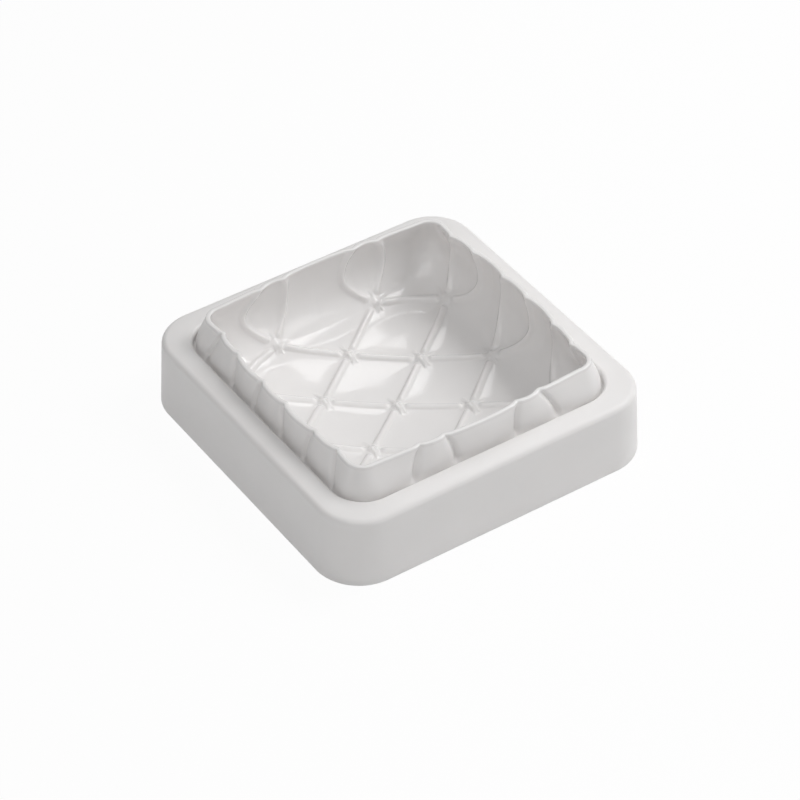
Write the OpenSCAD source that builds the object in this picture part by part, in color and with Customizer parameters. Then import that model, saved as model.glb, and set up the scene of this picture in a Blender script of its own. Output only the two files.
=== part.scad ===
// Square cake mould, one piece of silicone rubber. A skirt with a flat ledge carries a
// thin basin. The basin's inside is a tufted cushion in reverse: ridges cross it in a
// diamond lattice, meet in stars and run up the walls as pleats to a scalloped rim.

/* [Basin] */
// Clear width of the basin at its mouth
mouth_w = 153; // [146:0.5:157]
// Clear width of the basin where its walls stand widest
belly_w = 160; // [158:0.5:170]
// Depth of the basin from its rim to the middle of its floor
basin_d = 49; // [44:0.5:52]
// Thickness of the basin's wall and floor
wall_t = 2.5; // [2:0.1:3.2]
// Radius of the floor's crown, seen in section
crown_r = 340; // [260:5:500]
// Radius of the bend between the floor and the wall
heel_r = 26; // [22:0.5:29]
// Corner radius of the basin at its widest level, seen from above
corner_r = 15; // [12:0.5:22]
// Corner radius of the mouth, seen from above
mouth_r = 8; // [6:0.5:16]
// Share by which the mouth's corners draw in, so that its sides bow out
mouth_bow = 0.015; // [0:0.005:0.05]

/* [Ledge and skirt] */
// Height of the ledge above the table
ledge_h = 42; // [39:0.5:46]
// Height of the basin's rim above the ledge
rim_h = 15.5; // [13:0.5:18]
// Width of the ledge between the groove and the skirt's outer face
ledge_w = 13.75; // [10:0.05:20]
// Width of the groove between the ledge and the basin at its widest level
groove_w = 1.4; // [1:0.1:3]
// Depth of the groove below the ledge
groove_d = 5; // [4:0.1:6]
// Thickness of the skirt, the ledge and the web below the groove
skirt_t = 3; // [2.4:0.1:3.6]
// Inward slope of the skirt's walls, in degrees
draft = 3.2; // [1:0.1:4]
// Corner radius of the foot, seen from above
foot_r = 27; // [24:0.5:34]
// Rounding of the ledge's outer edge
edge_r = 3.5; // [3:0.1:6]
// Rounding of the ledge's inner edge
lip_r = 2.2; // [1:0.1:3]

/* [Cushion pattern] */
// Distance between the star columns of one row
pitch_x = 63; // [56:0.5:68]
// Distance between the star rows of one column
pitch_y = 47; // [42:0.5:49]
// Height of the ridges and pleats
ridge_h = 1.8; // [1:0.1:2.2]
// Extra height of the soft rise on both sides of a ridge
rise_h = 0.9; // [0.4:0.1:1.2]
// Reach of the soft rise away from a ridge
rise_reach = 5; // [3:0.5:8]
// Length of the short creases that make a crossing a star
crease_l = 10; // [7:0.5:13]
// Distance between the two pleats of a star at the rim of the front and back walls
pleat_w = 16; // [12:0.5:22]
// Distance between the two pleats of a star at the rim of the side walls
side_pleat_w = 21.5; // [14:0.5:24]
// Widest distance between the two pleats of a star
pleat_belly_w = 28; // [24:0.5:34]

/* [Hidden] */
$fn = 96;
silicone = "gainsboro";

// Levels and half-widths
rim_z = ledge_h + rim_h;
floor_z = rim_z - basin_d;
rim_round = 0.8;
edge_least = 0.3;
cut_over = 1;
mouth = mouth_w / 2;
belly = belly_w / 2;
lip = belly + wall_t + groove_w;
face_top = lip + ledge_w;
foot = face_top + ledge_h * tan(draft);
web_top = ledge_h - groove_d;
web_low = web_top - skirt_t;

// Section of the basin's inside: a crown arc, a heel arc and a shoulder arc, each tangent
// to the next, measured by the length t along them from the middle of the floor
crown_a = asin((belly - heel_r) / (crown_r - heel_r));
crown_l = crown_r * crown_a * PI / 180;
heel_l = heel_r * (90 - crown_a) * PI / 180;
heel_x = crown_r * sin(crown_a);
heel_z = floor_z + crown_r * (1 - cos(crown_a));
belly_t = crown_l + heel_l;
belly_z = heel_z + heel_r * cos(crown_a);
shoulder_h = rim_z - rim_round - belly_z;
shoulder_in = belly - mouth;
shoulder_r = (shoulder_h * shoulder_h + shoulder_in * shoulder_in) / (2 * shoulder_in);
shoulder_a = asin(shoulder_h / shoulder_r);
wall_end = belly_t + shoulder_r * shoulder_a * PI / 180;

// The web ends inside the basin's wall, web_bite of the way through it
web_bite = 0.55;
web_drop = max(0, belly_z - web_low);
web_end = belly - heel_r + sqrt(pow(heel_r + wall_t * web_bite, 2) - web_drop * web_drop);
ledge_overlap = 4.6;

// Lengths on the section between which the outside takes on the pleats, above the web
web_r = web_top < belly_z ? heel_r : shoulder_r;
fade_h = 5;
fade_from = belly_t + web_r * asin((web_top - belly_z) / web_r) * PI / 180;
fade_to = fade_from + fade_h;

// How the square grid of the basin becomes round: exponent of the level lines, corner share
// of the floor's level lines, width at which the grid levels off, and the lengths between
// which the walls take over
squareness = 3;
floor_share = 0.7;
level_margin = 0.5;
level_w = belly + level_margin;
level_power = 9;
wall_from = 25;
wall_to = 60;
corner_lead = 4;

// Grid of the inside: places of the grid lines between two stars, as shares of the distance,
// the same from both ends so that the diagonals run through the grid's corners
shares = [0, 0.07, 0.17, 0.33, 0.5, 0.67, 0.83, 0.93];
between = len(shares);
wall_steps = 8;
star_cols = 2;
star_rows = 3;
pleat_step = 3;
step_u = pitch_x / 2;
step_v = pitch_y / 2;
ridge_w = 2.6;
star_h = 0.5;
probe = 0.4;
probe_in = 0.98;
neck_share = 0.45;
neck_reach = 4;
crease_w = 1.5;
level_over = 12;
under_level = 4;
under_shares = [0.92, 0.84, 0.76, 0.68, 0.48, 0.24];

// How the pleats run: how much sooner they spread than a plain sine, and the share of their
// height that is left at the rim, reached over rim_ease below it
pleat_ease = 0.2;
rim_share = 0.6;
rim_ease = 7;

function smooth(t) = t <= 0 ? 0 : t >= 1 ? 1 : t * t * (3 - 2 * t);
function mix(a, b, share) = a + (b - a) * share;
function unit(p) = p / norm(p);
function degrees_of(length, r) = length / r * 180 / PI;

// Place on the section at length t: distance from the axis and height
function section_at(t) =
    t < crown_l
        ? let (a = degrees_of(t, crown_r))
            [crown_r * sin(a), floor_z + crown_r * (1 - cos(a))]
    : t < belly_t
        ? let (a = crown_a + degrees_of(t - crown_l, heel_r))
            [heel_x + heel_r * (sin(a) - sin(crown_a)), heel_z + heel_r * (cos(crown_a) - cos(a))]
    : let (a = degrees_of(t - belly_t, shoulder_r))
        [belly - shoulder_r * (1 - cos(a)), belly_z + shoulder_r * sin(a)];

// Reach of a rounded square of half-width 1 along direction d, its corner radius being share
function square_reach(d, share) =
    let (
        p = max(abs(d.x), abs(d.y)),
        q = min(abs(d.x), abs(d.y)),
        c = 1 - share
    )
    q <= p * c ? 1 / p : c * (p + q) + sqrt(max(0, share * share - c * c * (p - q) * (p - q)));

// Share of the half-width that the corner radius takes at length t
function corner_share(t) =
    t < belly_t
        ? mix(floor_share, corner_r / belly, smooth((t - wall_from) / (belly_t - corner_lead - wall_from)))
        : mix(corner_r / belly, mouth_r / mouth, smooth((t - belly_t) / (wall_end - belly_t)));

// Length t of the level line through grid place (u, v)
function level_t(u, v) =
    let (
        a = pow(min(1, abs(u) / wall_end), squareness),
        b = pow(min(1, abs(v) / wall_end), squareness)
    )
    wall_end * pow(1 - (1 - a) * (1 - b), 1 / squareness);

// Distance that follows t on the floor and levels off on the walls
function levelled(t) = t / pow(1 + pow(abs(t) / level_w, level_power), 1 / level_power);

// Reach of the basin's level line at length t along direction d
function ring_reach(t, d) =
    let (bow = mouth_bow * smooth((t - belly_t) / (wall_end - belly_t)) * pow(2 * d.x * d.y, 2))
    section_at(t).x * square_reach(d, corner_share(t)) * (1 - bow);

// Smooth inside of the basin, without its ridges, at grid place (u, v)
function basin_at(u, v) =
    let (
        t = level_t(u, v),
        flat = [levelled(u), levelled(v)],
        reach = norm(flat),
        ring = reach > 0 ? ring_reach(t, flat / reach) / reach : 1,
        scale = mix(1, ring, smooth((t - wall_from) / (wall_to - wall_from)))
    )
    [flat.x * scale, flat.y * scale, section_at(t).y];

// Direction across the wall at (u, v), into the basin
function across(u, v) =
    let (
        a = u * probe_in,
        b = v * probe_in
    )
    unit(cross(basin_at(a + probe, b) - basin_at(a - probe, b),
        basin_at(a, b + probe) - basin_at(a, b - probe)));

// Half the distance between a star's two pleats, h above the star, where rim_w is their
// distance at the rim
function pleat_at(h, climb, rim_w) =
    let (
        s = min(1, max(0, h / climb)),
        turn = 180 - asin(min(1, rim_w / pleat_belly_w))
    )
    pleat_belly_w / 2 * sin(turn * s * (1 + pleat_ease * (1 - s)));

// Grid line number i as a distance from the middle: stars every step, then the wall
function line_at(i, step, last) =
    let (
        n = abs(i),
        inside = last * between,
        place = n <= inside
            ? (floor(n / between) + (n < inside ? shares[n % between] : 0)) * step
            : last * step + (n - inside) * (wall_end - last * step) / wall_steps
    )
    sign(i) * place;

// Star lines nearest to a place u or v along a wall, where its pleats begin
function star_u(u) = (u < 0 ? -1 : 1) * step_u;
function star_v(v) = max(-1, min(1, round(v / pitch_y))) * pitch_y;

// The pleats' own line numbers: they leave the star diagonally and then keep to one line
function pleat_line(level) = min(pleat_step, level);

// Place along a wall, shifted so that one grid line lies under each pleat: line is the
// place of the grid line, star the nearest star's, level the grid level above the star
function shifted(line, star, step, level, climb, rim_w) =
    let (
        away = line - star,
        far = abs(away),
        under = shares[pleat_line(level)] * step,
        pleat = pleat_at(level * climb / wall_steps, climb, rim_w)
    )
    level <= 0 || far >= step ? line
    : star + sign(away) * (far <= under ? far * pleat / under
        : pleat + (far - under) * (step - pleat) / (step - under));

// Levels above the last star line, for a wall that faces along u and for one along v
cols = star_cols * between + wall_steps;
rows = star_rows * between + wall_steps;
climb_u = wall_end - star_cols * step_u;
climb_v = wall_end - star_rows * step_v;
function up_u(i) = abs(i) - star_cols * between;
function up_v(j) = abs(j) - star_rows * between;

// Place (u, v) of grid corner (i, j)
function grid_u(i, j) =
    let (line = line_at(i, step_u, star_cols))
    up_v(j) > 0 && up_v(j) >= up_u(i)
        ? shifted(line, star_u(line), step_u, up_v(j), climb_v, pleat_w)
        : line;
function grid_v(i, j) =
    let (line = line_at(j, step_v, star_rows))
    up_u(i) > 0 && up_u(i) >= up_v(j)
        ? shifted(line, star_v(line), step_v, up_u(i), climb_u, side_pleat_w)
        : line;

// Distance from (u, v) to the pleats of a wall: side is the place along the wall
function pleat_gap(side, star, h, climb, rim_w) =
    abs(abs(side - star) - pleat_at(h, climb, rim_w));

// Distance from (u, v) to the nearest ridge of the lattice, or to the nearest pleat
function ridge_gap(u, v) =
    let (
        h_u = abs(u) - star_cols * step_u,
        h_v = abs(v) - star_rows * step_v,
        p = u / step_u + v / step_v,
        q = u / step_u - v / step_v,
        across_line = norm([1 / step_u, 1 / step_v]),
        gap_u = h_u > 0 ? pleat_gap(v, star_v(v), h_u, climb_u, side_pleat_w) : wall_end,
        gap_v = h_v > 0 ? pleat_gap(u, star_u(u), h_v, climb_v, pleat_w) : wall_end,
        gap = min(abs(p - 2 * round(p / 2)), abs(q - 2 * round(q / 2))) / across_line
    )
    h_u > 0 || h_v > 0 ? min(gap_u, gap_v) : gap;

// Offset of (u, v) from its nearest star, or nothing where no star is near
function from_star(u, v) =
    let (
        p = 2 * round((u / step_u + v / step_v) / 2),
        q = 2 * round((u / step_u - v / step_v) / 2),
        col = (p + q) / 2,
        row = (p - q) / 2
    )
    abs(col) > star_cols || abs(row) > star_rows ? undef : [u - col * step_u, v - row * step_v];

function bump(x) = abs(x) < 1 ? pow(1 - x * x, 2) : 0;

// Height of one crease of a star: along is the way out from the star, aside the way across
function crease(along, aside) = max(0, 1 - along / crease_l) * bump(aside / crease_w);

// Height of the ridges, stars and soft rises above the smooth inside
function relief(u, v) =
    let (
        gap = ridge_gap(u, v),
        off = from_star(u, v),
        near = is_undef(off) ? crease_l : norm(off),
        neck = 1 - neck_share * exp(-pow(near / neck_reach, 2)),
        calm = mix(1, rim_share, smooth(1 - (wall_end - level_t(u, v)) / rim_ease)),
        rays = is_undef(off) ? 0
            : max(crease(abs(off.x), abs(off.y)), crease(abs(off.y), abs(off.x)))
    )
    max(ridge_h * bump(gap / ridge_w) * neck * calm, ridge_h * rays)
        + rise_h * exp(-gap / rise_reach) + star_h * bump(near / neck_reach);

// Direction in which ridges stand and the wall gains thickness: level above the belly
function inward(u, v) =
    let (
        n = across(u, v),
        tilt = 1 - smooth((level_t(u, v) - belly_t + level_over) / level_over)
    )
    unit([n.x, n.y, n.z * tilt]);

// Points of the two faces of the wall
function inside_point(u, v) = basin_at(u, v) + inward(u, v) * relief(u, v);
function outside_point(u, v) =
    let (follow = smooth((level_t(u, v) - fade_from) / (fade_to - fade_from)))
    basin_at(u, v) + inward(u, v) * (follow * relief(u, v) - wall_t);
// Point under the basin at length t along direction d: the level line moved out and down by
// the wall's thickness, square to the section
function under_point(t, d) =
    let (
        ahead = section_at(t + probe) - section_at(t - probe),
        out = unit([ahead.y, -ahead.x]) * wall_t,
        flat = d * (ring_reach(t, d) + out.x)
    )
    [flat.x, flat.y, section_at(t).y + out.y];
function rim_point(u, v) =
    (inside_point(u, v) + outside_point(u, v)) / 2 + [0, 0, rim_round];

// Grid corners round the basin, n lines above the last stars, seen from above and
// counter-clockwise
function frame_at(n) =
    let (
        c = star_cols * between + n,
        r = star_rows * between + n
    )
    concat(
        [for (j = [-r : r - 1]) [c, j]],
        [for (i = [c : -1 : 1 - c]) [i, r]],
        [for (j = [r : -1 : 1 - r]) [-c, j]],
        [for (i = [-c : c - 1]) [i, -r]]
    );

function level_of(i, j) = max(up_u(i), up_v(j));
function cell_level(i, j) =
    max(level_of(i, j), level_of(i + 1, j), level_of(i + 1, j + 1), level_of(i, j + 1));

// Two triangles for one grid cell, cut along the diagonal that lies higher
function halves(a, b, c, d, along) = along ? [[a, d, c], [a, c, b]] : [[a, d, b], [d, c, b]];
function turned(face) = [face[2], face[1], face[0]];

// Band of triangles between two rings of points with equal counts
function band(a, b, n) =
    [for (k = [0 : n - 1]) let (m = (k + 1) % n) each [[a[k], a[m], b[m]], [a[k], b[m], b[k]]]];

// The basin: a shell between the ridged inside and the smoother outside
module basin() {
    height = 2 * rows + 1;
    spots = [for (i = [-cols : cols], j = [-rows : rows]) [grid_u(i, j), grid_v(i, j)]];
    levels = [for (i = [-cols : cols], j = [-rows : rows]) level_of(i, j)];
    heights = [for (s = spots) relief(s.x, s.y)];
    inside = [for (s = spots) inside_point(s.x, s.y)];
    pole = [0, 0, floor_z - wall_t];
    outside = [for (k = [0 : len(spots) - 1])
        levels[k] < under_level ? pole : outside_point(spots[k].x, spots[k].y)];
    rim = frame_at(wall_steps);
    edge = frame_at(under_level);
    crest = [for (c = rim) rim_point(grid_u(c.x, c.y), grid_v(c.x, c.y))];
    below = [for (share = under_shares, c = edge)
        let (
            u = grid_u(c.x, c.y),
            v = grid_v(c.x, c.y)
        )
        under_point(level_t(u, v) * share, unit([levelled(u), levelled(v)]))];

    function at(c) = (c.x + cols) * height + c.y + rows;
    n_grid = len(spots);
    crest_0 = 2 * n_grid;
    below_0 = crest_0 + len(crest);
    pole_at = below_0 + len(below);

    function cell(i, j, shift, flip) =
        let (
            a = at([i, j]),
            b = at([i + 1, j]),
            c = at([i + 1, j + 1]),
            d = at([i, j + 1]),
            along = heights[a] + heights[c] >= heights[b] + heights[d],
            pair = halves(a + shift, b + shift, c + shift, d + shift, along)
        )
        flip ? [for (f = pair) turned(f)] : pair;

    inside_faces = [for (i = [-cols : cols - 1], j = [-rows : rows - 1]) each cell(i, j, 0, false)];
    outside_faces = [for (i = [-cols : cols - 1], j = [-rows : rows - 1])
        if (cell_level(i, j) > under_level) each cell(i, j, n_grid, true)];

    rim_in = [for (c = rim) at(c)];
    rim_out = [for (c = rim) at(c) + n_grid];
    rim_top = [for (k = [0 : len(rim) - 1]) crest_0 + k];
    rim_faces = concat(band(rim_in, rim_top, len(rim)), band(rim_top, rim_out, len(rim)));

    m = len(edge);
    edge_ring = [for (c = edge) at(c) + n_grid];
    rings = concat([edge_ring],
        [for (r = [0 : len(under_shares) - 1]) [for (k = [0 : m - 1]) below_0 + r * m + k]]);
    under_faces = [for (r = [0 : len(under_shares) - 1]) each band(rings[r], rings[r + 1], m)];
    last = rings[len(under_shares)];
    pole_faces = [for (k = [0 : m - 1]) [last[k], last[(k + 1) % m], pole_at]];

    polyhedron(
        points = concat(inside, outside, crest, below, [pole]),
        faces = concat(inside_faces, outside_faces, rim_faces, under_faces, pole_faces),
        convexity = 8
    );
}

// A wall section carried round a square: straight along each side and turned about a
// vertical line at each corner, where centre is the line's distance from both mid-planes
module carried_round(centre) {
    for (turn = [0 : 90 : 270])
        rotate(turn) {
            translate([centre, centre])
                rotate_extrude(angle = 90)
                    children();
            translate([centre, 0])
                rotate([90, 0, 0])
                    linear_extrude(2 * centre, center = true)
                        children();
        }
}

// Section of a leaning wall with a flat top and one round edge: foot_x is the outer face at
// the table, top the height, round the edge's radius, from_x where the top starts
module wall_shape(foot_x, top, round, from_x) {
    centre_z = top - round;
    centre_x = foot_x - centre_z * tan(draft) - round / cos(draft);
    union() {
        polygon([
            [from_x, 0],
            [foot_x, 0],
            [centre_x + round * cos(draft), centre_z + round * sin(draft)],
            [centre_x, centre_z],
            [centre_x, top],
            [from_x, top]
        ]);
        translate([centre_x, centre_z])
            circle(round);
    }
}

// The skirt and the outer part of the ledge. The hollow under them starts beyond the wall's
// section on its open sides, so that the cut goes right through
module skirt() {
    centre = foot - foot_r;
    from_x = lip + lip_r + cut_over - centre;
    hollow_x = foot_r - skirt_t + cut_over;
    hollow_h = ledge_h - skirt_t + cut_over;
    carried_round(centre)
        difference() {
            wall_shape(foot_r, ledge_h, edge_r, from_x);
            translate([-cut_over, -cut_over])
                wall_shape(hollow_x, hollow_h, max(edge_least, edge_r - skirt_t), 0);
        }
}

// The inner part of the ledge, its round lip, and the web below the groove, which ends
// inside the basin's wall
module lip_and_web() {
    centre = belly - corner_r;
    lip_x = lip - centre;
    web_x = web_end - centre;
    out_x = lip_x + lip_r + ledge_overlap;
    carried_round(centre)
        union() {
            polygon([
                [web_x, web_low],
                [lip_x + skirt_t, web_low],
                [lip_x + skirt_t, ledge_h - skirt_t],
                [out_x, ledge_h - skirt_t],
                [out_x, ledge_h],
                [lip_x + lip_r, ledge_h],
                [lip_x + lip_r, ledge_h - lip_r],
                [lip_x, ledge_h - lip_r],
                [lip_x, web_top],
                [web_x, web_top]
            ]);
            translate([lip_x + lip_r, ledge_h - lip_r])
                circle(lip_r);
        }
}

// The whole mould
module mould() {
    color(silicone)
        union() {
            skirt();
            lip_and_web();
            basin();
        }
}

mould();
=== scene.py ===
"""Looks of a square silicone cake mould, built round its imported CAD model.

One closed skin stands for the CAD node. It runs from the tufted inside of the basin over
the scalloped rim, down into the groove, across the ledge, down the skirt, up behind it
and under the basin. Its lengths are in millimetres until the mesh is made, in metres.
"""

import logging
import math
from dataclasses import dataclass, field
from enum import Enum
from functools import cached_property
from typing import Any

import bpy
import numpy as np
from mathutils import Matrix, Vector


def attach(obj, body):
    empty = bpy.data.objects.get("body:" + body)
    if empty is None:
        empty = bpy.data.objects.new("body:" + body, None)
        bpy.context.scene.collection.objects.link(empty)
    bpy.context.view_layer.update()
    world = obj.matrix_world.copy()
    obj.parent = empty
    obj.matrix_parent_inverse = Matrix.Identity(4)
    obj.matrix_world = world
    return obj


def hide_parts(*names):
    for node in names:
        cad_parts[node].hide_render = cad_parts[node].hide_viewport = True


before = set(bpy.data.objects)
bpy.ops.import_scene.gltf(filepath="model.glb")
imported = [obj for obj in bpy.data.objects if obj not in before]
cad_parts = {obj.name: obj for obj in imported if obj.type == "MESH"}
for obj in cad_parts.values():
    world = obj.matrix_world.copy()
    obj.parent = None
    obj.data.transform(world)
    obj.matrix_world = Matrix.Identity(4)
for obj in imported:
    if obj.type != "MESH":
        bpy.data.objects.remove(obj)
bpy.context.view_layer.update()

MM = 0.001
# A distance that stands for nowhere near, and the least divisor
FAR, TINY = 1000.0, 1e-9
# The Mix node's sockets for its two colours, and its output of the mixed one
MIX_A, MIX_B, MIX_OUT = 6, 7, 2
Array = np.ndarray
log = logging.getLogger("cake_mould")


def smooth(x: Array) -> Array:
    """Smooth step: 3x² - 2x³, with x held between 0 and 1."""
    x = np.clip(x, 0.0, 1.0)
    return x * x * (3.0 - 2.0 * x)


def mix(a: Any, b: Any, share: Any) -> Any:
    """Straight blend from a to b by share."""
    return a + (b - a) * share


def bump(x: Array, power: Array | float) -> Array:
    """Round hill on -1 to 1: (1 - x²) to a power, and 0 outside."""
    return np.clip(1.0 - x * x, 0.0, None) ** power


def unit(p: Array) -> Array:
    """Vectors of length 1 along the last axis."""
    return p / np.maximum(np.linalg.norm(p, axis=-1, keepdims=True), TINY)


def bearing(azimuth: float, elevation: float) -> Vector:
    """Unit vector towards a bearing in degrees: (sin a cos e, -cos a cos e, sin e)."""
    a, e = math.radians(azimuth), math.radians(elevation)
    return Vector((math.sin(a) * math.cos(e), -math.cos(a) * math.cos(e), math.sin(e)))


def show(name: str, data: bpy.types.ID) -> bpy.types.Object:
    """Makes an object of its data and puts it into the scene."""
    made = bpy.data.objects.new(name, data)
    bpy.context.scene.collection.objects.link(made)
    return made


class Side(Enum):
    """Directions in which the short creases of a star run."""

    FRONT = (0, -1)
    BACK = (0, 1)
    RIGHT = (1, 0)
    LEFT = (-1, 0)


class Polish(Enum):
    """Polish of a region, from 0 for satin to 1 for the face that the cake is cast on."""

    INSIDE = 1.0
    RIM = 0.7
    WALL = 0.2
    UNDER = 0.1
    LEDGE = 0.0


@dataclass(frozen=True)
class BasinSection:
    """Smooth section of the basin's inside, without its cushion pattern.

    A crown arc, a heel arc and a shoulder arc follow each other with a common tangent.
    A place on them is given by the length t along them from the middle of the floor.
    """

    mouth_w: float = 155.0
    belly_w: float = 160.0
    depth: float = 49.0
    rim_z: float = 57.5
    rim_round: float = 0.8
    crown_r: float = 340.0
    heel_r: float = 26.0
    corner_r: float = 15.0
    mouth_r: float = 8.0
    mouth_bow: float = 0.05
    bow_power: float = 5.0
    floor_share: float = 0.7
    corner_from: float = 25.0
    corner_to: float = 4.0

    @property
    def mouth(self) -> float:
        """Half-width of the mouth."""
        return self.mouth_w / 2

    @property
    def belly(self) -> float:
        """Largest half-width of the inside."""
        return self.belly_w / 2

    @property
    def floor_z(self) -> float:
        """Height of the middle of the floor."""
        return self.rim_z - self.depth

    @cached_property
    def crown_a(self) -> float:
        """Angle of the crown arc, in radians."""
        return math.asin((self.belly - self.heel_r) / (self.crown_r - self.heel_r))

    @cached_property
    def crown_t(self) -> float:
        """Length t at which the crown arc ends."""
        return self.crown_r * self.crown_a

    @cached_property
    def belly_t(self) -> float:
        """Length t at which the heel arc ends and the wall stands upright."""
        return self.crown_t + self.heel_r * (math.pi / 2 - self.crown_a)

    @cached_property
    def heel_z(self) -> float:
        """Height at which the crown arc ends."""
        return self.floor_z + self.crown_r * (1 - math.cos(self.crown_a))

    @cached_property
    def belly_z(self) -> float:
        """Height of the widest level."""
        return self.heel_z + self.heel_r * math.cos(self.crown_a)

    @cached_property
    def shoulder_h(self) -> float:
        """Height of the shoulder arc, up to the round of the rim."""
        return self.rim_z - self.rim_round - self.belly_z

    @cached_property
    def shoulder_r(self) -> float:
        """Radius of the shoulder arc, from its height h and its draw-in d: (h² + d²) / 2d."""
        h, d = self.shoulder_h, self.belly - self.mouth
        return (h * h + d * d) / (2 * d)

    @cached_property
    def end_t(self) -> float:
        """Length t at which the wall ends, below the round of the rim."""
        return self.belly_t + self.shoulder_r * math.asin(self.shoulder_h / self.shoulder_r)

    def at(self, t: Array) -> tuple[Array, Array]:
        """Place on the section: each arc turns by its length over its radius.

        Args:
            t: lengths along the section.

        Returns:
            Distances from the axis and heights.
        """
        crown = t / self.crown_r
        heel = self.crown_a + (t - self.crown_t) / self.heel_r
        shoulder = (t - self.belly_t) / self.shoulder_r
        heel_x = self.crown_r * math.sin(self.crown_a)
        parts = [t < self.crown_t, t < self.belly_t]
        x = np.select(
            parts,
            [
                self.crown_r * np.sin(crown),
                heel_x + self.heel_r * (np.sin(heel) - math.sin(self.crown_a)),
            ],
            self.belly - self.shoulder_r * (1 - np.cos(shoulder)),
        )
        z = np.select(
            parts,
            [
                self.floor_z + self.crown_r * (1 - np.cos(crown)),
                self.heel_z + self.heel_r * (math.cos(self.crown_a) - np.cos(heel)),
            ],
            self.belly_z + self.shoulder_r * np.sin(shoulder),
        )
        return x, z

    def t_of_height(self, z: float) -> float:
        """Length t at which the wall stands at height z, on the heel or the shoulder arc."""
        r = self.heel_r if z < self.belly_z else self.shoulder_r
        return self.belly_t + r * math.asin((z - self.belly_z) / r)

    def corner_share(self, t: Array) -> Array:
        """Corner radius over half-width, smooth from the floor to the belly to the mouth."""
        belly = self.corner_r / self.belly
        low_span = self.belly_t - self.corner_to - self.corner_from
        low = mix(self.floor_share, belly, smooth((t - self.corner_from) / low_span))
        high = mix(belly, self.mouth_r / self.mouth, self.above_belly(t))
        return np.where(t < self.belly_t, low, high)

    def above_belly(self, t: Array) -> Array:
        """Smooth share from the belly, 0, to the mouth, 1."""
        return smooth((t - self.belly_t) / (self.end_t - self.belly_t))

    def ring_reach(self, t: Array, dx: Array, dy: Array) -> Array:
        """Distance from the axis to the level line at t along the direction (dx, dy).

        The level line is a rounded square, whose corners are drawn in towards the mouth,
        so that its sides bow out. With a the direction's angle, the share drawn in is
        mouth_bow * |sin 2a|^bow_power.
        """
        bow = self.mouth_bow * self.above_belly(t) * np.abs(2 * dx * dy) ** self.bow_power
        x, _ = self.at(t)
        return x * square_reach(dx, dy, self.corner_share(t)) * (1 - bow)


def square_reach(dx: Array, dy: Array, share: Array) -> Array:
    """Reach of a rounded square of half-width 1 along the unit vector (dx, dy).

    With p the larger and q the smaller part and c = 1 - share, it is 1/p on a straight
    side, and c(p + q) + sqrt(share² - c²(p - q)²) on a round corner.
    """
    p = np.maximum(np.abs(dx), np.abs(dy))
    q = np.minimum(np.abs(dx), np.abs(dy))
    c = 1 - share
    corner = c * (p + q) + np.sqrt(np.maximum(0, share**2 - c**2 * (p - q) ** 2))
    return np.where(q <= p * c, 1 / np.maximum(p, TINY), corner)


@dataclass(frozen=True)
class StarArm:
    """One arm of a star: a leaf, highest at the star, that sinks to its pointed tip."""

    length: float
    height: float
    spread: float
    width: float
    taper: float = 0.8
    sink: float = 0.85
    rib_power: float = 1.3
    tip_share: float = 0.02

    def lift(self, along: Array, aside: Array) -> Array:
        """Height of the arm.

        With r the share of its length that is left, its two ribs run beside the middle
        line at spread * r^taper. Each is a hill as wide as width * r^taper and as tall
        as height * r^sink.

        Args:
            along: distance from the star along the arm.
            aside: distance from the arm's middle line.

        Returns:
            Height above the floor.
        """
        left = np.clip(1 - along / self.length, 0.0, 1.0)
        line = self.spread * left**self.taper
        wide = self.width * np.maximum(left, self.tip_share) ** self.taper
        hill = bump((np.abs(aside) - line) / wide, self.rib_power)
        return np.where(along > 0, self.height * left**self.sink * hill, 0.0)


@dataclass(frozen=True)
class PleatCourse:
    """Pairs of pleats up one pair of walls, at an array of grid places.

    Attributes:
        along: grid places along the wall.
        star: places of their nearest stars along the wall.
        rise: grid distances above the stars.
        climb: grid distance from the stars to the rim.
        rim: distance of a pleat from its star's middle line at the rim.
        top: shifts of the pairs along the wall at the rim.
        middle: shifts of the pairs along the wall halfway up.
    """

    along: Array
    star: Array
    rise: Array
    climb: float
    rim: float
    top: Array | float = 0.0
    middle: Array | float = 0.0
    belly: float = 13.4
    full: float = 0.62
    close: float = 6.0

    @cached_property
    def share(self) -> Array:
        """Share s of the climb."""
        return np.clip(self.rise / self.climb, 0.0, 1.0)

    def offset(self) -> tuple[Array, Array]:
        """Distance of a pleat from its star's middle line, and its slope.

        It is belly * sin(90 degrees * s / full), held from full on, less
        (belly - rim) * s^close: the pair opens from the star, runs upright, and closes a
        little below the rim.
        """
        s, n, drawn = self.share, self.close, self.belly - self.rim
        turn = np.minimum(s / self.full, 1.0) * math.pi / 2
        speed = self.belly * np.cos(turn) * math.pi / 2 / self.full
        slope = (speed - drawn * n * s ** (n - 1)) / self.climb
        return self.belly * np.sin(turn) - drawn * s**n, slope

    def lean(self) -> tuple[Array, Array]:
        """Shift of the pairs, and its slope: top * s^close + middle * sin(180 degrees * s)."""
        s, n = self.share, self.close
        speed = self.top * n * s ** (n - 1) + self.middle * np.pi * np.cos(np.pi * s)
        return self.top * s**n + self.middle * np.sin(np.pi * s), speed / self.climb

    def gap(self) -> Array:
        """Distance to the nearest pleat, square to its run, or a far one below the stars."""
        offset, slope = self.offset()
        shift, tilt = self.lean()
        away = self.along - self.star - shift
        run = slope + np.sign(away) * tilt
        gap = np.abs(np.abs(away) - offset) / np.sqrt(1 + run**2)
        return np.where(self.rise > 0, gap, FAR)


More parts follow.
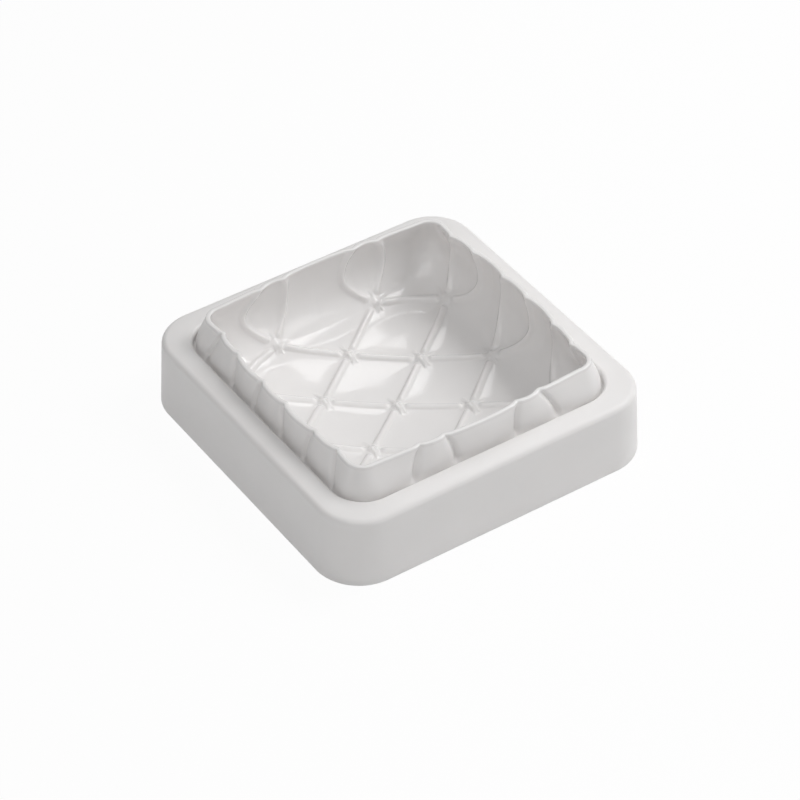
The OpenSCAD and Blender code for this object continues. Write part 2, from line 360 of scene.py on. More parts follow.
@dataclass(frozen=True)
class TuftPattern:
    """Ridges of a tufted cushion: a diamond lattice, stars at its crossings, and pleats.

    The pattern lives on the flat grid (u, v) of the basin. Stars stand at whole steps
    (col, row) with an even sum. Above the outermost stars two pleats rise from each.
    """

    end_t: float
    step_u: float = 31.5
    step_v: float = 23.5
    cols: int = 2
    rows: int = 3

    # Lattice ridges, which neck in before the stars
    bar_h: float = 1.65
    bar_w: float = 2.3
    bar_power: float = 1.1
    bar_end: float = 4.0
    bar_end_over: float = 1.8
    neck: float = 0.3

    # Course of the pleats
    pleat_rim_u: float = 10.75
    pleat_rim_v: float = 8.0
    side_lean: float = 2.5
    front_swing: float = 0.8
    back_swing: float = -2.0

    # Form of the pleats inside, and of the grooves that they leave outside
    pleat_h: float = 1.6
    pleat_w: float = 2.7
    pleat_power: float = 2.0
    pleat_rim_w: float = 3.8
    spread_over: float = 14.0
    rim_share: float = 0.45
    rim_ease: float = 4.0
    groove_h: float = 2.1
    groove_w: float = 2.1

    # Soft rise under the ridges, on the floor and under the pleats
    rise_h: float = 0.9
    rise_reach: float = 5.0
    pleat_rise: float = 1.4
    pleat_reach: float = 7.0
    rise_blend: float = 8.0
    crest_round: float = 1.5

    # Stars
    boss_h: float = 2.1
    boss_r: float = 3.6
    boss_power: float = 0.9
    arms: dict[Side, StarArm] = field(
        default_factory=lambda: {
            Side.FRONT: StarArm(11.5, 2.7, 1.0, 1.15),
            Side.BACK: StarArm(8.5, 2.5, 0.0, 1.6),
            Side.RIGHT: StarArm(8.5, 2.1, 0.0, 1.5),
            Side.LEFT: StarArm(6.5, 1.8, 0.0, 1.4),
        }
    )

    def rises(self, u: Array, v: Array) -> tuple[Array, Array]:
        """Grid distances past the last star column and past the last star row."""
        return np.abs(u) - self.cols * self.step_u, np.abs(v) - self.rows * self.step_v

    def courses(self, u: Array, v: Array) -> tuple[PleatCourse, PleatCourse]:
        """Pleats on the side walls, and on the front and back walls.

        The end pairs of a side wall lean away from its middle, and the pairs on the front
        and back walls swing halfway up.
        """
        rise_u, rise_v = self.rises(u, v)
        star_u = np.where(u < 0, -self.step_u, self.step_u)
        star_v = np.clip(np.round(v / (2 * self.step_v)), -1, 1) * 2 * self.step_v
        climb_u = self.end_t - self.cols * self.step_u
        climb_v = self.end_t - self.rows * self.step_v
        lean = self.side_lean * np.sign(star_v)
        swing = np.where(v < 0, self.front_swing, self.back_swing)
        return (
            PleatCourse(v, star_v, rise_u, climb_u, self.pleat_rim_u, top=lean),
            PleatCourse(u, star_u, rise_v, climb_v, self.pleat_rim_v, middle=swing),
        )

    def diagonals(self, u: Array, v: Array) -> tuple[Array, Array]:
        """Sum and difference of the places in steps. Each is even on its lattice lines."""
        return u / self.step_u + v / self.step_v, u / self.step_u - v / self.step_v

    def lattice_gaps(self, u: Array, v: Array) -> tuple[Array, Array]:
        """Distances to the nearest falling and to the nearest rising lattice line."""
        scale = math.hypot(1 / self.step_u, 1 / self.step_v)
        p, q = (np.abs(d - 2 * np.round(d / 2)) / scale for d in self.diagonals(u, v))
        return p, q

    def star_offset(self, u: Array, v: Array) -> tuple[Array, Array]:
        """Offset from the nearest star, or a far one where there is no star."""
        p, q = (2 * np.round(d / 2) for d in self.diagonals(u, v))
        col, row = (p + q) / 2, (p - q) / 2
        none = (np.abs(col) > self.cols) | (np.abs(row) > self.rows)
        return (
            np.where(none, FAR, u - col * self.step_u),
            np.where(none, FAR, v - row * self.step_v),
        )

    def gap(self, u: Array, v: Array) -> tuple[Array, Array, Array]:
        """Distances to the nearest ridge and the rise above the outermost stars.

        Args:
            u: first grid place.
            v: second grid place.

        Returns:
            Distance on the floor, distance on the walls, and the grid distance above the
            outermost stars, which is 0 or less on the floor.
        """
        side, end = self.courses(u, v)
        wall = np.minimum(side.gap(), end.gap())
        return np.minimum(*self.lattice_gaps(u, v)), wall, np.maximum(side.rise, end.rise)

    def rounded(self, gap: Array) -> Array:
        """Distance with its kink at 0 rounded off: sqrt(gap² + c²) - c."""
        return np.hypot(gap, self.crest_round) - self.crest_round

    def relief(self, u: Array, v: Array, grooved: bool = False) -> Array:
        """Height of the pattern above the smooth inside.

        The highest of three counts: a ridge or pleat, a round boss on each star, and the
        star's arms. Under them lies a soft rise, height * e^(-distance / reach).

        Args:
            u: first grid place.
            v: second grid place.
            grooved: whether the pleats are the sharp grooves of the outside.

        Returns:
            Heights above the smooth inside.
        """
        floor, wall, rise = self.gap(u, v)
        off_u, off_v = self.star_offset(u, v)
        near = np.hypot(off_u, off_v)
        sharp = np.where(rise > 0, wall, floor)
        neck = mix(self.neck, 1.0, smooth((near - self.bar_end) / self.bar_end_over))
        below_rim = self.end_t - np.maximum(np.abs(u), np.abs(v))
        calm = mix(1.0, self.rim_share, smooth(1 - below_rim / self.rim_ease))
        spread = smooth(1 - below_rim / self.spread_over)
        on_wall = smooth(rise / self.rise_blend)
        power = mix(self.bar_power, self.pleat_power, on_wall)
        width = mix(self.bar_w, mix(self.pleat_w, self.pleat_rim_w, spread), on_wall)
        tall = mix(self.bar_h, self.pleat_h, on_wall)
        bars = tall * bump(sharp / width, power) * neck * calm
        if grooved:
            bars = self.groove_h * np.clip(1 - sharp / self.groove_w, 0.0, None) * calm
        soft = mix(
            self.rise_h * np.exp(-self.rounded(floor) / self.rise_reach),
            self.pleat_rise * np.exp(-self.rounded(wall) / self.pleat_reach),
            on_wall,
        )
        lifts = []
        for side, arm in self.arms.items():
            x, y = side.value
            lifts.append(arm.lift(off_u * x + off_v * y, off_u * y + off_v * x))
        boss = self.boss_h * bump(near / self.boss_r, self.boss_power)
        return np.maximum.reduce([bars, boss, *lifts]) + soft


@dataclass(frozen=True)
class Basin:
    """The thin basin: a smooth square bowl with the cushion pattern on its inside."""

    section: BasinSection = BasinSection()
    wall: float = 2.5
    squareness: float = 3.0
    level_power: float = 9.0
    level_out: float = 0.5
    wall_from: float = 25.0
    wall_to: float = 60.0
    tilt_over: float = 12.0
    web_z: float = 37.0
    follow_over: float = 5.0
    probe: float = 0.4
    probe_share: float = 0.98

    @cached_property
    def pattern(self) -> TuftPattern:
        """The cushion pattern, fitted to the wall's length."""
        return TuftPattern(self.section.end_t)

    def level(self, u: Array, v: Array) -> Array:
        """Length t of the level line through (u, v).

        With n the squareness and a and b the n-th powers of |u| and |v| over the end, it
        is end * (1 - (1 - a)(1 - b))^(1/n).
        """
        end, n = self.section.end_t, self.squareness
        a = np.minimum(1, np.abs(u) / end) ** n
        b = np.minimum(1, np.abs(v) / end) ** n
        return end * (1 - (1 - a) * (1 - b)) ** (1 / n)

    def levelled(self, t: Array) -> Array:
        """Distance that follows t on the floor and levels off at top on the walls.

        It is t / (1 + (|t| / top)^n)^(1/n).
        """
        top, n = self.section.belly + self.level_out, self.level_power
        return t / (1 + (np.abs(t) / top) ** n) ** (1 / n)

    def smooth_inside(self, u: Array, v: Array) -> Array:
        """Inside of the basin without its pattern.

        Near the middle the grid is laid on the crown as it is, and towards the walls it
        is scaled from the axis on to the rounded-square level lines.
        """
        t = self.level(u, v)
        x, y = self.levelled(u), self.levelled(v)
        far = np.maximum(np.hypot(x, y), TINY)
        ring = self.section.ring_reach(t, x / far, y / far) / far
        blend = smooth((t - self.wall_from) / (self.wall_to - self.wall_from))
        scale = mix(1.0, ring, blend)
        return np.stack([x * scale, y * scale, self.section.at(t)[1]], axis=-1)

    def inward(self, u: Array, v: Array) -> Array:
        """Direction across the wall into the basin, turned level above the belly.

        The cross product of two short steps on the smooth inside, a little nearer the
        middle, whose upward part fades out below the belly.
        """
        a, b, h = u * self.probe_share, v * self.probe_share, self.probe
        n = unit(
            np.cross(
                self.smooth_inside(a + h, b) - self.smooth_inside(a - h, b),
                self.smooth_inside(a, b + h) - self.smooth_inside(a, b - h),
            )
        )
        above = self.level(u, v) - self.section.belly_t + self.tilt_over
        n[..., 2] *= 1 - smooth(above / self.tilt_over)
        return unit(n)

    def inside(self, u: Array, v: Array) -> Array:
        """Patterned inside: the smooth inside moved inward by the relief."""
        lift = self.pattern.relief(u, v)[..., None]
        return self.smooth_inside(u, v) + self.inward(u, v) * lift

    def outside(self, u: Array, v: Array) -> Array:
        """Outside of the wall: a wall's thickness away, with the pattern above the groove."""
        start = self.section.t_of_height(self.web_z)
        follow = smooth((self.level(u, v) - start) / self.follow_over)
        lift = (follow * self.pattern.relief(u, v, True) - self.wall)[..., None]
        return self.smooth_inside(u, v) + self.inward(u, v) * lift

    def under(self, t: float, dx: Array, dy: Array) -> Array:
        """Underside at length t: the level line moved square to the section by the wall."""
        xa, za = self.section.at(np.array(t - self.probe))
        xb, zb = self.section.at(np.array(t + self.probe))
        out, down = unit(np.array([zb - za, xa - xb])) * self.wall
        flat = self.section.ring_reach(np.array(t), dx, dy) + out
        z = np.full_like(flat, self.section.at(np.array(t))[1] + down)
        return np.stack([dx * flat, dy * flat, z], axis=-1)


@dataclass(frozen=True)
class GridLines:
    """Grid of the basin's inside, whose diagonals run along the ridges.

    Every step between two star lines has the same number of lines, so the ridges pass
    through grid corners. The diagonals draw together at the ridges, and on the walls
    the lines bend with the pleats.
    """

    basin: Basin
    per_step: int = 30
    per_wall: int = 36
    ridge_pull: float = 0.55
    pull_over: float = 9.0
    line_under_pleat: float = 8.0
    pleat_band: float = 3.5
    pleat_fineness: float = 0.5
    bend_over: float = 10.0
    turn_from: float = 60.0
    least_share: float = 0.5
    halvings: int = 40

    def axis(self, step: float, stars: int) -> Array:
        """Places of the grid lines along one axis, from rim to rim."""
        end = self.basin.section.end_t
        inner = np.arange(stars * self.per_step + 1) / self.per_step * step
        wall = np.linspace(stars * step, end, self.per_wall + 1)[1:]
        half = np.concatenate([inner, wall])
        return np.concatenate([-half[:0:-1], half])

    def bent(self, course: PleatCourse, step: float) -> Array:
        """Lines along a wall, bent so that a dense band of them follows each pleat.

        Args:
            course: pleats of the wall, at the lines.
            step: distance over which a star's lines bend.

        Returns:
            Places of the bent lines.
        """
        (pleat, _), (shift, _) = course.offset(), course.lean()
        pitch = step / self.per_step
        base, band = round(self.line_under_pleat / pitch) * pitch, self.pleat_band
        fine = band * self.pleat_fineness
        away = course.along - course.star
        far = np.abs(away)
        outer = (far - base - band) / (step - base - band)
        low = far / (base - band) * (pleat - fine)
        middle = pleat + (far - base) * self.pleat_fineness
        high = pleat + fine + outer * (step - pleat - fine)
        moved = np.select([far < base - band, far < base + band], [low, middle], high)
        far = mix(far, moved, smooth(course.rise / self.bend_over) * (far < step))
        line = course.star + np.sign(away) * far + shift * (1 - smooth(outer))
        return np.where(course.rise > 0, line, course.along)

    def drawn(self, u: Array, v: Array) -> tuple[Array, Array]:
        """Places of floor corners, drawn to the ridges.

        Each diagonal d becomes d - k sin(pi d) / pi, which is closest where it is even, on
        the ridges. The pull k fades out at the outermost stars.
        """
        pattern = self.basin.pattern
        fade_u, fade_v = (smooth(-rise / self.pull_over) for rise in pattern.rises(u, v))
        k = self.ridge_pull * fade_u * fade_v
        p, q = (d - k * np.sin(np.pi * d) / np.pi for d in pattern.diagonals(u, v))
        return pattern.step_u * (p + q) / 2, pattern.step_v * (p - q) / 2

    def settle(self, u: Array, v: Array) -> tuple[Array, Array]:
        """Final places of grid corners: bent with the pleats and drawn to the ridges."""
        pattern = self.basin.pattern
        side, end = pattern.courses(u, v)
        return self.drawn(self.bent(end, pattern.step_u), self.bent(side, pattern.step_v))

    def lines(self) -> tuple[Array, Array]:
        """Unbent places of all grid corners, as two arrays over (column, row)."""
        pattern = self.basin.pattern
        return np.meshgrid(
            self.axis(pattern.step_u, pattern.cols),
            self.axis(pattern.step_v, pattern.rows),
            indexing="ij",
        )

    def rim_order(self, shape: tuple[int, int]) -> Array:
        """Indices of the outermost grid corners, counter-clockwise seen from above."""
        index = np.arange(shape[0] * shape[1]).reshape(shape)
        return np.concatenate(
            [index[-1, :-1], index[:0:-1, -1], index[0, :0:-1], index[:-1, 0]]
        )

    def below_rim(self, u: Array, v: Array, t: float) -> tuple[Array, Array]:
        """Grid places at level t under the rim places (u, v), following the pleats.

        Each place is scaled along its wall's climb, and past turn_from, near the corners,
        along both axes, by a share that bisection finds so that its level is t.

        Args:
            u: first grid places of the rim's corners.
            v: second grid places of the rim's corners.
            t: length of the level line along the section.

        Returns:
            Grid places, bent with the pleats.
        """
        end = self.basin.section.end_t
        low, high = np.full(u.shape, self.least_share), np.full(u.shape, 1.0)

        def place(share: Array) -> tuple[Array, Array]:
            """Grid place that a share of the climb gives."""
            turn_u = smooth((np.abs(u) - self.turn_from) / (end - self.turn_from))
            turn_v = smooth((np.abs(v) - self.turn_from) / (end - self.turn_from))
            wall_u = np.abs(u) >= np.abs(v)
            scale_u = np.where(wall_u, share, 1 - turn_u * (1 - share))
            scale_v = np.where(wall_u, 1 - turn_v * (1 - share), share)
            return self.settle(u * scale_u, v * scale_v)

        for _ in range(self.halvings):
            half = (low + high) / 2
            over = self.basin.level(*place(half)) > t
            low, high = np.where(over, low, half), np.where(over, half, high)
        return place((low + high) / 2)


@dataclass(frozen=True)
class Ledge:
    """The ledge round the basin, its lip at the groove, and the skirt down to the table.

    Its section is a list of points (half-width, corner centre, height): the corner
    centre is the distance of each corner's turning line from both mid-planes.
    """

    basin: Basin
    ledge_z: float = 42.0
    ledge_w: float = 13.75
    groove_w: float = 1.4
    thick: float = 3.0
    draft: float = 3.2
    foot_r: float = 27.0
    edge_r: float = 3.5
    lip_r: float = 2.2
    foot_round: float = 0.6
    web_round: float = 1.0
    groove_flat: float = 0.7
    groove_toe: float = 0.1
    groove_rise: float = 0.25

    @property
    def lip(self) -> float:
        """Half-width of the ledge's inner edge."""
        return self.basin.section.belly + self.basin.wall + self.groove_w

    @property
    def foot(self) -> float:
        """Half-width of the foot."""
        return self.lip + self.ledge_w + self.ledge_z * math.tan(math.radians(self.draft))

    def arc(self, x: float, z: float, r: float, start: float, end: float, n: int) -> Array:
        """Points (half-width, height) on an arc from start to end, in degrees."""
        a = np.radians(np.linspace(start, end, n))
        return np.stack([x + r * np.cos(a), z + r * np.sin(a)], axis=-1)

    def run(self, a: tuple[float, float], b: tuple[float, float], n: int) -> Array:
        """Points (half-width, height) evenly from a to b, without both ends."""
        return np.linspace(a, b, n + 2)[1:-1]

    def section(self) -> Array:
        """Points (half-width, corner centre, height) from the groove to the web's underside."""
        lean, web_z = math.tan(math.radians(self.draft)), self.basin.web_z
        inner = self.basin.section.belly - self.basin.section.corner_r
        outer = self.foot - self.foot_r
        edge_z = self.ledge_z - self.edge_r
        edge_x = self.foot - edge_z * lean - self.edge_r / math.cos(math.radians(self.draft))
        low, bend = self.foot_round, self.web_round
        back = self.foot - self.thick
        under_z = self.ledge_z - self.thick
        hem = self.edge_r - self.thick
        lip_back = self.lip + self.thick
        web_low = web_z - self.thick
        wall_x = self.basin.section.belly + self.basin.wall
        lip_z = self.ledge_z - self.lip_r
        toe = (self.lip - self.groove_toe, web_z + self.groove_rise)
        near = [
            np.array([(self.lip - self.groove_flat, web_z), toe]),
            self.run((self.lip, web_z + 2 * self.groove_rise), (self.lip, lip_z), 2),
            self.arc(self.lip + self.lip_r, lip_z, self.lip_r, 180, 90, 8),
        ]
        top = self.run((self.lip + self.lip_r, self.ledge_z), (edge_x, self.ledge_z), 1)
        far = [
            self.arc(edge_x, edge_z, self.edge_r, 90, self.draft, 9),
            self.run((self.foot - edge_z * lean, edge_z), (self.foot, low), 4),
            self.arc(self.foot - low, low, low, 0, -90, 4),
            self.arc(back + low, low, low, -90, -180, 3),
            self.run((back, low), (back - under_z * lean, under_z - hem), 4),
            self.arc(back - under_z * lean - hem, under_z - hem, hem, 0, 90, 4),
        ]
        web = [
            self.arc(lip_back + bend, under_z - bend, bend, 90, 180, 3),
            self.run((lip_back, under_z - bend), (lip_back, web_low + bend), 1),
            self.arc(lip_back - bend, web_low + bend, bend, 0, -90, 4),
            self.run((lip_back - bend, web_low), (wall_x, web_low), 1),
        ]
        return np.concatenate(
            [
                self.with_centre(np.concatenate(near), inner),
                self.with_centre(top, (inner + outer) / 2),
                self.with_centre(np.concatenate(far), outer),
                self.with_centre(np.concatenate(web), inner),
            ]
        )

    def with_centre(self, points: Array, centre: float) -> Array:
        """Section points with their corner centre put between half-width and height."""
        return np.insert(points, 1, centre, axis=1)

    def ring(self, point: Array, dx: Array, dy: Array) -> Array:
        """One section point carried round the rounded square along the directions."""
        half, centre, z = point
        reach = half * square_reach(dx, dy, np.array((half - centre) / half))
        return np.stack([dx * reach, dy * reach, np.full_like(dx, z)], axis=-1)


class Skin:
    """Collects rings and grids of points into one closed skin of triangles."""

    def __init__(self) -> None:
        """Starts an empty skin."""
        self.points: list[Array] = []
        self.polish: list[Array] = []
        self.faces: list[Array] = []
        self.count = 0

    def add(self, points: Array, polish: Polish) -> Array:
        """Adds points with one degree of polish and returns their indices."""
        flat = points.reshape(-1, 3)
        self.points.append(flat)
        self.polish.append(np.full(len(flat), polish.value))
        start = self.count
        self.count += len(flat)
        return np.arange(start, self.count)

    def grid(self, index: Array, falling: Array) -> None:
        """Two triangles for each cell of a grid, cut along the chosen diagonal.

        Args:
            index: indices over (column, row).
            falling: for each cell, whether it is cut from its right to its far corner.
        """
        a, b = index[:-1, :-1].ravel(), index[1:, :-1].ravel()
        c, d = index[1:, 1:].ravel(), index[:-1, 1:].ravel()
        cut = falling.ravel()[:, None]
        first = np.where(cut, np.stack([a, b, d], 1), np.stack([a, b, c], 1))
        second = np.where(cut, np.stack([b, c, d], 1), np.stack([a, c, d], 1))
        self.faces += [first, second]

    def band(self, upper: Array, lower: Array) -> None:
        """Triangles between two rings of equal count that follow each other outwards."""
        a, b = np.roll(upper, -1), np.roll(lower, -1)
        self.faces += [np.stack([upper, lower, b], 1), np.stack([upper, b, a], 1)]

    def halving(self, upper: Array, lower: Array) -> None:
        """Triangles from a ring to one of half its count, three for each pair."""
        a, m, b = upper[0::2], upper[1::2], np.roll(upper[0::2], -1)
        c, d = lower, np.roll(lower, -1)
        self.faces += [np.stack(t, 1) for t in ((a, c, m), (m, c, d), (m, d, b))]

    def pole(self, ring: Array, centre: int) -> None:
        """Closes a ring with triangles to one point."""
        self.faces.append(np.stack([ring, np.full_like(ring, centre), np.roll(ring, -1)], 1))

    def build(self, name: str) -> bpy.types.Object:
        """Makes the mesh object, in metres, smooth, with the polish as an attribute."""
        points = np.concatenate(self.points) * MM
        faces = np.concatenate(self.faces).astype(np.int32)
        mesh = bpy.data.meshes.new(name)
        mesh.vertices.add(len(points))
        mesh.vertices.foreach_set("co", points.astype(np.float32).ravel())
        mesh.loops.add(faces.size)
        mesh.loops.foreach_set("vertex_index", faces.ravel())
        mesh.polygons.add(len(faces))
        starts = np.arange(0, faces.size, 3, dtype=np.int32)
        mesh.polygons.foreach_set("loop_start", starts)
        mesh.polygons.foreach_set("use_smooth", np.ones(len(faces), dtype=bool))
        attribute = mesh.attributes.new("polish", "FLOAT", "POINT")
        attribute.data.foreach_set("value", np.concatenate(self.polish).astype(np.float32))
        mesh.update(calc_edges=True)
        mesh.validate(verbose=True)
        return show(name, mesh)


@dataclass(frozen=True)
class MouldBody:
    """The whole mould as one skin."""

    basin: Basin
    lines: GridLines
    ledge: Ledge
    rim_steps: int = 7
    rim_flatness: float = 0.62
    wall_rings: int = 12
    under_rings: int = 13
    under_end: float = 0.03
    web_clear: float = 0.4

    def build(self) -> bpy.types.Object:
        """Lays the inside, the rim, the wall, the ledge and the underside into one skin."""
        skin = Skin()
        u0, v0 = self.lines.lines()
        u, v = self.lines.settle(u0, v0)
        inside = skin.add(self.basin.inside(u, v), Polish.INSIDE).reshape(u.shape)
        falling, rising = self.basin.pattern.lattice_gaps(
            (u[:-1, :-1] + u[1:, 1:]) / 2, (v[:-1, :-1] + v[1:, 1:]) / 2
        )
        skin.grid(inside, falling < rising)
        order = self.lines.rim_order(u.shape)
        ring, rim_u, rim_v, base_u, base_v = (a.ravel()[order] for a in (inside, u, v, u0, v0))
        ring = self.add_rim(skin, ring, rim_u, rim_v)
        ring, dx, dy = self.add_wall(skin, ring, base_u, base_v)
        ring = self.add_ledge(skin, ring, dx, dy)
        self.add_underside(skin, ring, dx, dy)
        return skin.build("mould_skin")

    def add_rim(self, skin: Skin, ring: Array, u: Array, v: Array) -> Array:
        """Rounds the rim from the inside to the outside.

        A superellipse over the wall: cosine and sine of the turn, each to a power below
        1, which leaves a flat top between two small edges.
        """
        inner, outer = self.basin.inside(u, v), self.basin.outside(u, v)
        middle, half = (inner + outer) / 2, (inner - outer) / 2
        up = np.array([0.0, 0.0, self.basin.section.rim_round])
        for step in range(1, self.rim_steps + 1):
            a = math.pi * step / self.rim_steps
            across = math.copysign(abs(math.cos(a)) ** self.rim_flatness, math.cos(a))
            above = abs(math.sin(a)) ** self.rim_flatness if step < self.rim_steps else 0.0
            points = skin.add(middle + half * across + up * above, Polish.RIM)
            skin.band(ring, points)
            ring = points
        return ring

    def add_wall(
        self, skin: Skin, ring: Array, u: Array, v: Array
    ) -> tuple[Array, Array, Array]:
        """Lays rings down the outside of the wall to the groove.

        Returns:
            The last ring, of half the count, and the directions of its points.
        """
        section = self.basin.section
        low = section.t_of_height(self.basin.web_z + self.web_clear)
        for t in np.linspace(section.end_t, low, self.wall_rings + 1)[1:]:
            spot_u, spot_v = self.lines.below_rim(u, v, float(t))
            wall = self.basin.outside(spot_u, spot_v)
            points = skin.add(wall, Polish.WALL)
            skin.band(ring, points)
            ring = points
        flat = unit(wall[::2, :2])
        return ring, flat[:, 0], flat[:, 1]

    def add_ledge(self, skin: Skin, ring: Array, dx: Array, dy: Array) -> Array:
        """Carries the section of the ledge and skirt round the basin."""
        for number, point in enumerate(self.ledge.section()):
            points = skin.add(self.ledge.ring(point, dx, dy), Polish.LEDGE)
            (skin.band if number else skin.halving)(ring, points)
            ring = points
        return ring

    def add_underside(self, skin: Skin, ring: Array, dx: Array, dy: Array) -> None:
        """Lays rings under the basin to its middle and closes them there."""
        section = self.basin.section
        drop = section.belly_z - self.basin.web_z + self.ledge.thick + self.web_clear
        turn = math.asin(drop / (section.heel_r + self.basin.wall))
        first = 1 - section.heel_r * turn / section.belly_t
        for share in np.linspace(first, self.under_end, self.under_rings):
            under = self.basin.under(float(section.belly_t * share), dx, dy)
            points = skin.add(under, Polish.UNDER)
            skin.band(ring, points)
            ring = points
        middle = np.array([[0.0, 0.0, section.floor_z - self.basin.wall]])
        skin.pole(ring, int(skin.add(middle, Polish.UNDER)[0]))


class Wire:
    """A shader socket that takes part in sums: an expression adds its Math nodes."""

    def __init__(self, bench: "NodeBench", socket: bpy.types.NodeSocket) -> None:
        """Holds the bench and the output socket."""
        self.bench = bench
        self.socket = socket

    def _maths(self, operation: str, first: Any, second: Any) -> "Wire":
        """Adds one Math node on two values or wires."""
        node = self.bench.add("Math", {0: first, 1: second}, operation=operation)
        return Wire(self.bench, node.outputs[0])

    def __add__(self, other: Any) -> "Wire":
        """Sum."""
        return self._maths("ADD", self, other)

    __radd__ = __add__

    def __mul__(self, other: Any) -> "Wire":
        """Product."""
        return self._maths("MULTIPLY", self, other)

    __rmul__ = __mul__

    def __sub__(self, other: Any) -> "Wire":
        """Difference."""
        return self._maths("SUBTRACT", self, other)

    def __rsub__(self, other: Any) -> "Wire":
        """Difference from a number."""
        return self._maths("SUBTRACT", other, self)

    def highest(self, other: Any) -> "Wire":
        """Larger of two values."""
        return self._maths("MAXIMUM", self, other)


class NodeBench:
    """Puts nodes into one node tree."""

    def __init__(self, tree: bpy.types.NodeTree) -> None:
        """Clears the tree and keeps it."""
        self.tree = tree
        tree.nodes.clear()

    def add(self, kind: str, inputs: dict | None = None, **settings: Any) -> bpy.types.Node:
        """Adds a node.

        Args:
            kind: the node's type, without the ShaderNode before it.
            inputs: values or wires of its sockets, by name or number.
            **settings: its own settings, set first.

        Returns:
            The node.
        """
        node = self.tree.nodes.new("ShaderNode" + kind)
        for name, value in settings.items():
            setattr(node, name, value)
        for name, value in (inputs or {}).items():
            if isinstance(value, Wire):
                self.tree.links.new(value.socket, node.inputs[name])
            else:
                node.inputs[name].default_value = value
        return node

    def wire(self, node: bpy.types.Node, output: str | int = 0) -> Wire:
        """Output of a node as a wire."""
        return Wire(self, node.outputs[output])


@dataclass(frozen=True)
class SiliconeFinish:
    """White silicone: satin on the outside, polished where the cake is cast."""

    colour: tuple[float, float, float] = (0.87, 0.856, 0.849)
    shade: tuple[float, float, float] = (0.84, 0.824, 0.816)
    ior: float = 1.42
    glow: float = 0.25
    glow_depth: float = 2.5
    glow_tint: tuple[float, float, float] = (1.0, 0.97, 0.94)
    satin: float = 0.4
    polished: float = 0.1
    cloud_size: float = 26.0
    cloud_detail: float = 3.0
    cloud_gloss: float = 0.12
    grain_size: float = 0.55
    grain_detail: float = 2.0
    grain_depth: float = 0.012
    grain_strength: float = 0.5
    grain_reach: float = 1.15

    def material(self) -> bpy.types.Material:
        """Makes the silicone: faint clouds in colour and gloss, and a fine grain.

        The roughness falls from satin to polished with the polish, and the grain's height
        is scaled by grain_reach - polish, so that it nearly fades out on the inside.
        """
        made = bpy.data.materials.new("silicone")
        made.use_nodes = True
        bench = NodeBench(made.node_tree)
        place = bench.wire(bench.add("TexCoord"), "Object")
        clouds = self.noise(bench, place, self.cloud_size, self.cloud_detail)
        grain = self.noise(bench, place, self.grain_size, self.grain_detail)
        polish = bench.wire(bench.add("Attribute", attribute_name="polish"), "Fac")
        colours = {"Factor": clouds, MIX_A: (*self.colour, 1.0), MIX_B: (*self.shade, 1.0)}
        colour = bench.add("Mix", colours, data_type="RGBA")
        gloss = (clouds - 0.5) * self.cloud_gloss
        rough = self.satin - (self.satin - self.polished) * polish + gloss
        height = grain * (self.grain_reach - polish)
        depth = self.grain_depth * MM
        relief = bench.add(
            "Bump", {"Strength": self.grain_strength, "Distance": depth, "Height": height}
        )
        skin = bench.add(
            "BsdfPrincipled",
            {
                "Base Color": bench.wire(colour, MIX_OUT),
                "Roughness": rough,
                "Normal": bench.wire(relief),
                "IOR": self.ior,
                "Subsurface Weight": self.glow,
                "Subsurface Radius": self.glow_tint,
                "Subsurface Scale": self.glow_depth * MM,
            },
        )
        bench.add("OutputMaterial", {"Surface": bench.wire(skin)})
        return made

    def noise(self, bench: NodeBench, place: Wire, size: float, detail: float) -> Wire:
        """Noise with features of about the given size in millimetres."""
        inputs = {"Vector": place, "Scale": 1 / (size * MM), "Detail": detail}
        return bench.wire(bench.add("TexNoise", inputs))


@dataclass(frozen=True)
class SoftBox:
    """A square area lamp aimed at the mould. Its width and distance are in metres."""

    name: str
    azimuth: float
    elevation: float
    width: float
    power: float
    distance: float = 1.4

    def hang(self, target: Vector) -> None:
        """Hangs the lamp at its bearing from the target, facing it."""
        back = bearing(self.azimuth, self.elevation)
        data = bpy.data.lights.new(self.name, "AREA")
        data.energy = self.power
        data.size = self.width
        turn = (-back).to_track_quat("-Z", "Y").to_matrix().to_4x4()
        show(self.name, data).matrix_world = (
            Matrix.Translation(target + back * self.distance) @ turn
        )


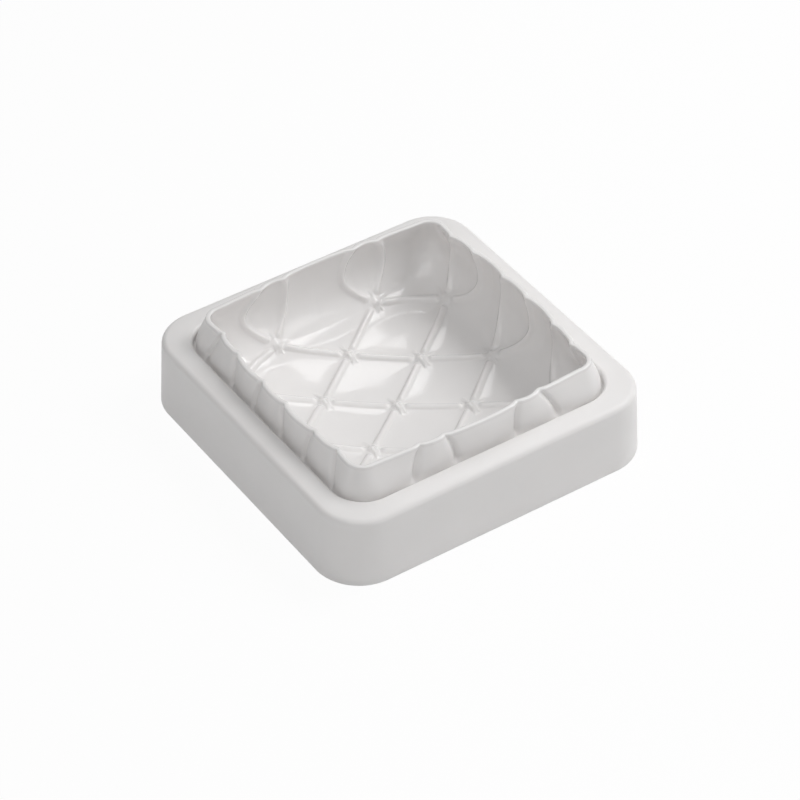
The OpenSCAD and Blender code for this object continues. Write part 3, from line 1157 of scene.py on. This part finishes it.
@dataclass(frozen=True)
class Studio:
    """Camera, pale floor, soft lamps and a white surround.

    The camera's offsets and distance are in millimetres. The floor, the lamps' aim and
    the camera's clipping are in metres.
    """

    azimuth: float = -34.03
    elevation: float = 41.14
    roll: float = 0.22
    focal_px: float = 3266.9
    frame_px: float = 800.0
    offset_x: float = -1.45
    offset_y: float = -10.48
    distance: float = 1761.7
    sensor: float = 36.0
    clip: tuple[float, float] = (0.05, 50.0)
    lamp_aim: tuple[float, float, float] = (0.0, 0.0, 0.03)
    floor_half: float = 6.0
    floor_colour: float = 0.9
    floor_white: float = 0.95
    world_level: float = 0.18
    lamps: tuple[SoftBox, ...] = (
        SoftBox("key_lamp", 80.0, 50.0, 0.65, 8.7),
        SoftBox("gloss_lamp", 134.0, 54.0, 0.42, 2.2),
        SoftBox("side_lamp", 42.0, 25.0, 0.6, 2.1),
        SoftBox("front_lamp", 325.0, 58.0, 0.9, 5.2),
        SoftBox("left_lamp", 270.0, 10.0, 0.6, 1.9),
    )

    def camera(self) -> None:
        """Sets up the camera from its bearing, roll, focal length and distance."""
        roll, turned = math.radians(self.roll), math.radians(self.azimuth)
        right = Vector((math.cos(turned), math.sin(turned), 0.0))
        back = bearing(self.azimuth, self.elevation)
        up = back.cross(right)
        turned_right = right * math.cos(roll) - up * math.sin(roll)
        turned_up = right * math.sin(roll) + up * math.cos(roll)
        place = back * self.distance - turned_right * self.offset_x - turned_up * self.offset_y
        data = bpy.data.cameras.new("camera")
        data.sensor_width = self.sensor
        data.lens = self.focal_px / self.frame_px * data.sensor_width
        data.clip_start, data.clip_end = self.clip
        camera = show("camera", data)
        turn = Matrix((turned_right, turned_up, back)).transposed().to_4x4()
        camera.matrix_world = Matrix.Translation(place * MM) @ turn
        bpy.context.scene.camera = camera

    def seen(self, bench: NodeBench) -> Wire:
        """1 for camera, glossy and transmission rays, else 0."""
        path = bench.add("LightPath")
        camera, glossy, through = (
            bench.wire(path, f"Is {ray} Ray") for ray in ("Camera", "Glossy", "Transmission")
        )
        return camera.highest(glossy).highest(through)

    def floor(self) -> None:
        """Lays a plain pale floor that keeps the mould's shadow."""
        h = self.floor_half
        mesh = bpy.data.meshes.new("floor")
        mesh.from_pydata([(-h, -h, 0), (h, -h, 0), (h, h, 0), (-h, h, 0)], [], [(0, 1, 2, 3)])
        paper = bpy.data.materials.new("paper")
        paper.use_nodes = True
        bench = NodeBench(paper.node_tree)
        matt = bench.add("BsdfDiffuse", {"Color": (*[self.floor_colour] * 3, 1.0)})
        white = bench.add("Emission", {"Strength": 1.0})
        share = self.seen(bench) * self.floor_white
        both = bench.add("MixShader", {0: share, 1: bench.wire(matt), 2: bench.wire(white)})
        bench.add("OutputMaterial", {"Surface": bench.wire(both)})
        mesh.materials.append(paper)
        show("floor", mesh)

    def surround(self) -> None:
        """Lights from all round at a plain level and shows white behind the floor."""
        world = bpy.data.worlds.new("surround")
        world.use_nodes = True
        bpy.context.scene.world = world
        bench = NodeBench(world.node_tree)
        level = self.world_level + (1.0 - self.world_level) * self.seen(bench)
        sky = bench.add("Background", {"Strength": level})
        bench.add("OutputWorld", {"Surface": bench.wire(sky)})

    def set_up(self) -> None:
        """Builds the studio round the mould."""
        self.camera()
        self.floor()
        self.surround()
        for lamp in self.lamps:
            lamp.hang(Vector(self.lamp_aim))
        bpy.context.scene.view_settings.view_transform = "Standard"


def main() -> None:
    """Builds the mould and the studio and reports each piece."""
    logging.basicConfig(level=logging.INFO, format="%(name)s: %(message)s")
    basin = Basin()
    body = MouldBody(basin, GridLines(basin), Ledge(basin)).build()
    body.data.materials.append(SiliconeFinish().material())
    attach(body, "root")
    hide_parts("mould")
    log.info("%s: %d triangles", body.name, len(body.data.polygons))
    Studio().set_up()
    log.info("studio: camera, floor, surround and lamps")


if __name__ == "__main__":
    main()
